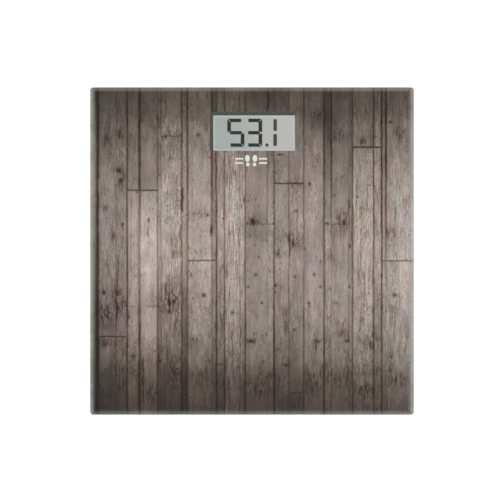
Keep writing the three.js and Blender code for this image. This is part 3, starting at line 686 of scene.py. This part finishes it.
def board_material():
    g = BoardPrint()
    gap, shadow, raised = g.gaps()
    scorched = g.scorched()
    kept = (1.0 - gap) * (1.0 - shadow) * (1.0 - scorched)
    for darkness in g.blemishes():
        kept = kept * (1.0 - darkness)
    wood = g.attribute("shade") * g.attribute("broad_shade") * (1.0 + g.grain() + raised)
    value = (wood * kept * PRINT_BRIGHTNESS).larger(PRINT_DARKEST)
    # the painted edge light goes over the wood's own colour
    boards = g.painted_edge_light(g.wood_colour(value, kept, scorched), gap)
    return g.surface(Base_Color=boards, Roughness=0.55, Specular_IOR_Level=0.35)


# ---- glass ----

EDGE_TINT = (0.6, 0.76, 0.69)
TOP_ROUND_MM = 2.4
BOTTOM_ARRIS_MM = 0.8
CORNER_MM = 3.0
EDGE_STEPS = 9
CORNER_STEPS = 10


def glass_material():
    g = Graph("toughened_glass")
    glass = g.node("ShaderNodeBsdfPrincipled")
    g.feed(glass.inputs["IOR"], 1.5)
    smear = g.noise(g.vector(g.x * 0.02, g.y * 0.02, g.z * 0.1), 3, 0.6).band(0.35, 0.75, 0.0, 0.03)
    # the ground edge is satin and greenish, with faint wheel marks along it
    inset = (GLASS_HIGH.x - g.x.size()).smaller(GLASS_HIGH.y - g.y.size())
    ground = inset.band(0.25, 0.9, 1.0, 0.0)
    wheel = g.noise(g.vector(g.x * 0.15, g.y * 0.15, g.z * 4.0), 3, 0.6)
    g.feed(glass.inputs["Base Color"], g.blend(ground, (0.985, 0.996, 0.99), EDGE_TINT))
    g.feed(glass.inputs["Roughness"], smear + ground * (wheel * 0.25 + 0.22))
    g.feed(glass.inputs["Transmission Weight"], 1.0 - ground * 0.35)
    # light reaches the print straight through the plate
    clear = g.node("ShaderNodeBsdfTransparent")
    g.feed(clear.inputs["Color"], (0.94, 0.965, 0.952, 1.0))
    mix = g.node("ShaderNodeMixShader")
    path = g.node("ShaderNodeLightPath")
    sources = (path.outputs["Is Shadow Ray"], glass.outputs[0], clear.outputs[0])
    for socket, source in zip(mix.inputs, sources):
        g.feed(socket, source)
    g.feed(g.output.inputs["Surface"], mix.outputs[0])
    return g.material


def glass_plate():
    """The platform with finely rounded edges and true normals, inside the CAD plate's box."""
    turns = [math.pi / 2 * i / EDGE_STEPS for i in range(EDGE_STEPS + 1)]
    # each ring is (inset, z, outward share of the normal, upward share)
    rings = [(BOTTOM_ARRIS_MM * (1 - math.sin(turn)), GLASS_LOW.z + BOTTOM_ARRIS_MM * (1 - math.cos(turn)),
              math.sin(turn), -math.cos(turn)) for turn in turns]
    rings += [(TOP_ROUND_MM * (1 - math.cos(turn)), GLASS_HIGH.z - TOP_ROUND_MM * (1 - math.sin(turn)),
               math.cos(turn), math.sin(turn)) for turn in turns]
    outlines, normals = [], []
    for inset, z, outward, upward in rings:
        outlines.append([])
        for quarter, (sx, sy) in enumerate(((1, 1), (-1, 1), (-1, -1), (1, -1))):
            for i in range(CORNER_STEPS + 1):
                angle = math.pi / 2 * (quarter + i / CORNER_STEPS)
                reach = CORNER_MM - inset
                outlines[-1].append((sx * (GLASS_HIGH.x - CORNER_MM) + reach * math.cos(angle),
                                     sy * (GLASS_HIGH.y - CORNER_MM) + reach * math.sin(angle), z))
                normals.append((outward * math.cos(angle), outward * math.sin(angle), upward))
    points, faces = lofted(outlines)
    piece = new_piece("glass_plate", points, faces, PLATFORM, "glass", glass_material(), smooth=True)
    piece.data.normals_split_custom_set_from_vertices(normals)
    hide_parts("glass_platform")


# ---- display ----

def lcd_material():
    g = Graph("lcd_cell")
    x0, y0, x1, y1 = DISPLAY_MM
    cloud = g.noise(g.vector(g.x * 0.05, g.y * 0.08, 1.0))
    # painted light: the cell is made lighter and pinker towards its right side
    base = g.blend(g.x.band(x0, x1), tone(189, 193, 191), tone(217, 208, 208))
    base = g.blend((cloud - 0.4) * 0.5, base, tone(194, 202, 190))
    # painted highlight: a lighter rim along the clear part's edges
    inset = (g.x - x0).smaller(x1 - g.x).smaller((g.y - y0).smaller(y1 - g.y))
    base = g.blend(inset.band(1.6, 2.4, 1.0, 0.0) * 0.45, base, tone(226, 228, 223))
    grain = g.noise(g.vector(g.x * 9.0, g.y * 9.0, g.z))
    return g.surface(Base_Color=base, Roughness=0.32, Specular_IOR_Level=0.4, Normal=g.bump(grain, 0.01, 0.3))


def ink_material(name, colour, light_colour):
    g = Graph(name)
    mottle = g.noise(g.vector(g.x * 0.8, g.y * 0.8, 2.0), 3)
    return g.surface(Base_Color=g.blend(mottle, colour, light_colour), Roughness=0.5)


POST = 3.4     # width of a digit's upright bars
BAR = 3.2      # height of its level bars
GAP = 0.05     # between two bars that meet
SHORT = 2.75   # how far from the digit's side a free end stops
CUT = 0.6      # off a bar's outer corners
SIDES = ("left", "right")


def digit_bars(left, right, low, high, lit, free):
    """Flat outlines of the lit bars of a seven-bar digit. Level bars meet the upright ones on a
    slant, except at the end that free names for them, which is cut square and stops short."""
    middle = (low + high) / 2
    half = BAR / 2
    edges = list(zip(SIDES, (left, right), (1, -1)))

    def ends(name, free_outer, free_inner, outer):
        """Where a level bar's outer and inner corners are, at its left end and its right end."""
        return [(edge + toward * (free_outer if free.get(name) == side else outer),
                 edge + toward * (free_inner if free.get(name) == side else POST + GAP))
                for side, edge, toward in edges]

    bars = {}
    for name, y_outer, y_inner in (("top", high, high - BAR), ("bottom", low, low + BAR)):
        (left_outer, left_inner), (right_outer, right_inner) = ends(name, SHORT + 0.3, SHORT + 0.3, 0.7)
        bars[name] = [(left_outer, y_outer), (left_inner, y_inner),
                      (right_inner, y_inner), (right_outer, y_outer)]
    (left_tip, left_inner), (right_tip, right_inner) = ends("middle", SHORT, SHORT + 0.4, 1.7)
    bars["middle"] = [(left_tip, middle), (left_inner, middle - half), (right_inner, middle - half),
                      (right_tip, middle), (right_inner, middle + half), (left_inner, middle + half)]
    for side, edge, toward in edges:
        inner = edge + toward * POST
        for name, end, up in ((f"upper_{side}", high, 1), (f"lower_{side}", low, -1)):
            bars[name] = [(edge, end - up * CUT), (edge, middle + up), (edge + toward, middle + up * 0.6),
                          (inner, middle + up * (half + GAP)), (inner, end - up * (BAR + GAP))]
    outlines = []
    for name in lit:
        outline = bars[name]
        area = sum(a[0] * b[1] - b[0] * a[1] for a, b in zip(outline, outline[1:] + outline[:1]))
        outlines.append(outline if area > 0 else outline[::-1])
    return outlines


def lone_bar(left, right, low, high):
    """A bar that stands alone, with its corners cut."""
    return [(left + CUT, low), (right - CUT, low), (right, low + CUT), (right, high - CUT),
            (right - CUT, high), (left + CUT, high), (left, high - CUT), (left, low + CUT)]


def display_digits():
    """The reading 53.1, as thin ink-like bars on the liquid crystal cell."""
    low, high = 96.8, 122.9
    five = digit_bars(-23.0, -7.1, low, high, ("top", "upper_left", "middle", "lower_right", "bottom"),
                      {"top": "right", "bottom": "left"})
    three = digit_bars(-6.5, 9.4, low, high, ("top", "upper_right", "middle", "lower_right", "bottom"),
                       {"top": "left", "middle": "left", "bottom": "left"})
    tenths = [lone_bar(19.8, 23.1, 111.6, 122.5), lone_bar(19.8, 23.1, 97.6, 108.7),
              lone_bar(12.4, 15.3, 97.0, 99.9)]
    dark = ink_material("lcd_dark", tone(34, 48, 42), tone(44, 58, 52))
    faint = ink_material("lcd_grey", tone(64, 73, 71), tone(74, 83, 81))
    for name, outlines, material in (("lcd_digits", five + three, dark), ("lcd_tenths", tenths, faint)):
        new_piece(name, *inked(outlines, LCD_HIGH.z), PLATFORM, "lcd", material)


# ---- printed mark ----

MARK_X = -0.85


def ellipse(x, y, rx, ry, steps=24):
    return [(x + rx * math.cos(2 * math.pi * i / steps), y + ry * math.sin(2 * math.pi * i / steps))
            for i in range(steps)]


def stand_here_mark():
    """A plain pair of footprints between two short lines, printed white under the glass."""
    outlines = []
    for side in (-1, 1):
        x = MARK_X + side * 3.2
        outlines.append(ellipse(x + side * 0.3, 85.9, 2.2, 3.3))
        outlines.append(ellipse(x, 80.3, 1.7, 1.8))
        low_x, high_x = sorted((MARK_X + side * 7.4, MARK_X + side * 14.8))
        for low_y, high_y in ((80.8, 82.4), (84.8, 86.4)):
            outlines.append([(low_x, low_y), (high_x, low_y), (high_x, high_y), (low_x, high_y)])
    white = ink_material("white_print", tone(251, 249, 247), tone(255, 254, 252))
    new_piece("stand_here_mark", *inked(outlines, PRINT_Z_MM), PLATFORM, "decor_print", white)


# ---- plastics, rubber and metal ----

SPARK_TEXTURE_MM = 0.35


def scaled(colour, share):
    return tuple(min(1.0, c * share) for c in colour)


def plastic_material(name, colour, roughness=0.5):
    """Moulded plastic: fine spark-eroded texture, faint flow marks and a little dirt."""
    g = Graph(name)
    fine = g.even_noise(1 / SPARK_TEXTURE_MM, 3, 0.6)
    flow = g.noise(g.vector(g.x * 0.05, g.y * 0.09, g.z * 0.1), 3, 0.55)
    dirt = g.even_noise(0.35, 4, 0.65)
    speck = g.even_noise(1.4)
    base = g.blend(flow.band(0.3, 0.7), scaled(colour, 0.92), scaled(colour, 1.04))
    base = g.blend(speck.band(0.3, 0.7) * 0.25, base, scaled(colour, 0.86))
    base = g.blend(dirt.band(0.56, 0.82) * 0.3, base, scaled(colour, 0.7))
    rough = roughness + (fine - 0.5) * 0.18 + (dirt - 0.5) * 0.2
    return g.surface(Base_Color=base, Roughness=rough, Normal=g.bump(fine, 0.04, 0.7))


def rubber_material():
    g = Graph("pad_rubber")
    fine = g.even_noise(3.0, 3, 0.7)
    dust = g.even_noise(0.4, 4, 0.7)
    base = g.blend(dust.band(0.45, 0.75), (0.022, 0.022, 0.024), (0.075, 0.072, 0.068))
    return g.surface(Base_Color=base, Roughness=0.72 + (dust - 0.5) * 0.3, Normal=g.bump(fine, 0.05, 0.8),
                     Specular_IOR_Level=0.35)


def steel_material(name, colour, roughness=0.32, lay=(0.2, 6.0)):
    """Metal with fine marks: lay is how many of them there are to the millimetre, each way."""
    g = Graph(name)
    brushed = g.noise(g.vector(g.x * lay[0], g.y * lay[1], g.z * 2.0), 4, 0.7)
    stain = g.even_noise(0.3, 3, 0.6)
    base = g.blend(stain.band(0.4, 0.75) * 0.5, colour, scaled(colour, 0.62))
    rough = roughness + (brushed - 0.5) * 0.3
    return g.surface(Base_Color=base, Metallic=1.0, Roughness=rough, Normal=g.bump(brushed, 0.02, 0.5))


def soft_material(name, colour, roughness, grain):
    g = Graph(name)
    fine = g.even_noise(grain, 3, 0.7)
    base = g.blend(fine.band(0.3, 0.8), scaled(colour, 0.75), colour)
    return g.surface(Base_Color=base, Roughness=roughness, Normal=g.bump(fine, 0.06, 0.8))


def solder_mask_material():
    """Green lacquer over the circuit board's copper tracks."""
    g = Graph("solder_mask")
    copper = g.cells(g.vector(g.x * 0.35, g.y * 0.35), 0.4).band(0.3, 0.36)
    base = g.blend(copper * 0.5, (0.018, 0.11, 0.045), (0.05, 0.24, 0.1))
    return g.surface(Base_Color=base, Roughness=0.35, Normal=g.bump(copper, 0.03, 0.6))


def film_back_material():
    """The film's back: pale grey covering paint with a faint roller texture."""
    g = Graph("film_back")
    roller = g.noise(g.vector(g.x * 0.5, g.y * 0.5, g.z), 4, 0.65)
    patch = g.noise(g.vector(g.x * 0.02, g.y * 0.02, g.z), 3)
    base = g.blend(patch.band(0.3, 0.7), tone(184, 184, 180), tone(193, 193, 189))
    base = g.blend(roller.band(0.5, 0.9) * 0.4, base, tone(150, 150, 147))
    return g.surface(Base_Color=base, Roughness=0.6, Normal=g.bump(roller, 0.05, 0.5))


# ---- feet and leads ----

CORNERS = {"rear_left": (-1, 1), "rear_right": (1, 1), "front_left": (-1, -1), "front_right": (1, -1)}
# Sections of a foot's turned pieces, as (radius, z), from axis to axis.
HOUSING = [(0, 15.6), (25, 15.6), (25, 8.2), (22.4, 8.2), (22.4, 7.0), (26.4, 7.0), (27.3, 8.4), (27.8, 15.3),
           (29.5, 15.8), (29.5, 17.1), (0, 17.1)]
CAP = [(0, 3.4), (17.4, 3.4), (17.4, 1.6), (20.2, 1.6), (20.9, 2.4), (21.9, 5.5), (21.9, 8.5), (23.8, 8.5),
       (23.8, 9.2), (19.5, 9.2), (19.5, 5.2), (5.2, 5.2), (5.2, 9.5), (0, 9.5)]
PAD = [(0, 0), (3.4, 0), (3.8, 0.5), (4.6, 0.5), (5.0, 0), (7.4, 0), (7.8, 0.6), (8.8, 0.6), (9.2, 0),
       (11.6, 0), (12.0, 0.6), (13.0, 0.6), (13.4, 0), (16.3, 0), (17.1, 0.9), (17.1, 3.4), (0, 3.4)]


def new_round_piece(name, points, faces, body, slot, material, node):
    """A smooth piece in place of a CAD node, its edges sharp where the surface turns quickly."""
    piece = new_piece(name, points, faces, body, slot, material, smooth=True)
    piece.data.set_sharp_from_angle(angle=math.radians(40))
    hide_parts(node)


def feet(white, cap_plastic, rubber):
    for corner, (side, end) in CORNERS.items():
        x, y = side * FOOT_X, end * FOOT_Y
        body = f"foot_{corner}"
        for stem, profile, fillet, holder, slot, material in (
                ("housing", HOUSING, 0.5, PLATFORM, "white_plastic", white),
                ("cap", CAP, 0.4, body, "cap_plastic", cap_plastic),
                ("pad", PAD, 0.15, body, "rubber", rubber)):
            new_round_piece(f"{stem}_{corner}", *turned(filleted(profile, fillet), x, y), holder, slot,
                            material, f"foot_{stem}_{corner}")


LEAD_HIGH = 16.3    # height of a lead lying under the film
CORE_OFFSET, CORE_RADIUS = 0.58, 0.48
CORE_TWIST = 26.0    # length of one turn of a lead's cores
CORE_COLOURS = {"red": (0.42, 0.022, 0.016), "black": (0.014, 0.014, 0.015), "white": (0.72, 0.71, 0.66)}


def lead_line(corner):
    """The middle of a lead, from its load cell to the circuit board."""
    side, end = CORNERS[corner]
    if end > 0:
        inner = side * (FOOT_X - 8)
        knots = [(inner - side * d, FOOT_Y, z) for d, z in
                 ((4.8, 14), (12, 14), (23, 14), (30, LEAD_HIGH), (35, LEAD_HIGH))]
        knots += [(side * 64, FOOT_Y - 3, LEAD_HIGH), (side * 62, FOOT_Y - 10, LEAD_HIGH),
                  (side * 62, 96, LEAD_HIGH), (side * 62, 88, LEAD_HIGH), (side * 61, 82, LEAD_HIGH - 0.7),
                  (side * 57, 79, 14.6), (side * 51, 79, 14.6), (side * 45, 79, 14), (side * 38, 79, 13.2)]
    else:
        start = -FOOT_Y + 8
        knots = [(side * FOOT_X, start + d, z) for d, z in ((5, 14), (12, 14), (23, 14), (30, LEAD_HIGH))]
        knots += [(side * FOOT_X, y, LEAD_HIGH) for y in (-70, -60, -50)]
        knots += [(side * 108, -36, LEAD_HIGH), (side * 90, -8, LEAD_HIGH), (side * 62, 22, LEAD_HIGH),
                  (side * 42, 43, LEAD_HIGH), (side * 36.8, 51, LEAD_HIGH - 0.4), (side * 36, 57, 14.6),
                  (side * 36, 63, 14.6), (side * 36, 67.5, 13.8), (side * 36, 72, 13.2)]
    return smooth_line(knots, 1.8)


def leads():
    """Each lead is three thin cores, lightly twisted together."""
    jackets = [soft_material(f"core_{colour}", rgb, 0.38, 2.2) for colour, rgb in CORE_COLOURS.items()]
    for corner in CORNERS:
        middle = lead_line(corner)
        travelled = 0.0
        before = middle[0]
        lines = [[] for _ in CORE_COLOURS]
        for centre, around in stations(middle):
            travelled += (centre - before).length
            before = centre
            for k, line in enumerate(lines):
                line.append(around(CORE_OFFSET, 2 * math.pi * (k / len(lines) + travelled / CORE_TWIST)))
        for colour, jacket, line in zip(CORE_COLOURS, jackets, lines):
            new_round_piece(f"lead_core_{colour}_{corner}", *tube(line, CORE_RADIUS), PLATFORM,
                            "lead_jacket", jacket, f"lead_{corner}")


def paint(material, *names):
    for name in names:
        node = NODES[name]
        node.data.materials.clear()
        node.data.materials.append(material)


def each_corner(stem):
    return [f"{stem}_{corner}" for corner in CORNERS]


def finishes():
    """Gives every CAD node that stays its material, and makes the feet and the leads."""
    white = plastic_material("housing_plastic", tone(214, 215, 211))
    paint(white, "housing_cover", "battery_door")
    feet(white, plastic_material("foot_plastic", tone(200, 201, 197), 0.55), rubber_material())
    leads()
    # the display frame is a real part; where it shows in the strip at the window's left and far side, its
    # dark colour is painted shadow
    paint(plastic_material("bezel_plastic", tone(86, 90, 80), 0.6), "display_frame")
    paint(plastic_material("button_plastic", tone(60, 62, 61)), "unit_button")
    paint(plastic_material("clip_plastic", tone(228, 228, 224), 0.45), *each_corner("lead_clip"))
    paint(steel_material("stamped_steel", (0.62, 0.62, 0.63)),
          "unit_switch", *each_corner("load_cell"), *(f"cover_screw_{i}" for i in range(1, 5)))
    paint(steel_material("nickel_plate", (0.74, 0.73, 0.71), 0.22, (3.0, 3.0)), "coin_cell")
    paint(steel_material("spring_strip", (0.72, 0.66, 0.48), 0.28),
          "battery_contact_minus", "battery_contact_plus")
    paint(soft_material("bond_foam", (0.03, 0.03, 0.03), 0.9, 2.0), "display_bond", *each_corner("foot_bond"))
    paint(soft_material("silicone_cover", (0.82, 0.82, 0.8), 0.6, 1.2), *each_corner("strain_gauge"))
    paint(soft_material("zebra_elastomer", (0.62, 0.42, 0.4), 0.6, 1.0), "zebra_strip")
    paint(soft_material("epoxy_blob", (0.012, 0.012, 0.012), 0.25, 0.6), "chip_blob")
    paint(lcd_material(), "lcd_panel")
    paint(solder_mask_material(), "circuit_board")
    paint(film_back_material(), "decor_film")


# ---- studio ----

VIEW_DISTANCE = 1.2842             # from the glass to the camera
VIEW_LENS = 100.0                  # focal length, in millimetres
VIEW_OFFSET = (-0.0019, 0.00093)   # how far the camera stands off the platform's centre
FLOOR_HALF = 4.0
FLOOR_Z = -0.0002                  # just below the pads' faces, so that none coincide
SKY_STRENGTH = 0.22
KEY_SIZE, KEY_HEIGHT, KEY_POWER = 0.9, 1.7, 22.0


def camera():
    data = bpy.data.cameras.new("camera")
    data.lens = VIEW_LENS
    data.clip_start = 0.01
    place = (*VIEW_OFFSET, GLASS_HIGH.z * MM + VIEW_DISTANCE)
    bpy.context.scene.camera = in_scene("camera", data, place)


def floor():
    g = Graph("floor_paper")
    fibre = g.noise(g.vector(g.x * 0.02, g.y * 0.02), 3)
    g.surface(Base_Color=g.blend(fibre, (0.9, 0.9, 0.9), (0.93, 0.93, 0.93)), Roughness=0.9,
              Specular_IOR_Level=0.1, Emission_Color=(1.0, 1.0, 1.0), Emission_Strength=0.4)
    corners = [(x * FLOOR_HALF, y * FLOOR_HALF, 0.0) for x, y in ((-1, -1), (1, -1), (1, 1), (-1, 1))]
    mesh = bpy.data.meshes.new("floor")
    mesh.from_pydata(corners, [], [(0, 1, 2, 3)])
    mesh.materials.append(g.material)
    in_scene("floor", mesh, (0.0, 0.0, FLOOR_Z))


def lights():
    world = bpy.data.worlds.new("studio")
    world.use_nodes = True
    background = world.node_tree.nodes["Background"]
    background.inputs["Color"].default_value = (1.0, 1.0, 1.0, 1.0)
    background.inputs["Strength"].default_value = SKY_STRENGTH
    bpy.context.scene.world = world
    # the key light is a large disc that leaves no reflection in the glass
    data = bpy.data.lights.new("key", "AREA")
    data.shape = "DISK"
    data.size = KEY_SIZE
    data.energy = KEY_POWER
    key = in_scene("key", data, (0.0, 0.0, KEY_HEIGHT))
    key.visible_glossy = False
    key.visible_transmission = False
    key.visible_camera = False


def picture():
    scene = bpy.context.scene
    scene.view_settings.view_transform = "Standard"
    scene.cycles.use_denoising = True
    scene.cycles.max_bounces = 12
    scene.cycles.transmission_bounces = 8
    scene.cycles.transparent_max_bounces = 12


# ---- build ----

printed_boards()
glass_plate()
display_digits()
stand_here_mark()
finishes()
camera()
floor()
lights()
picture()
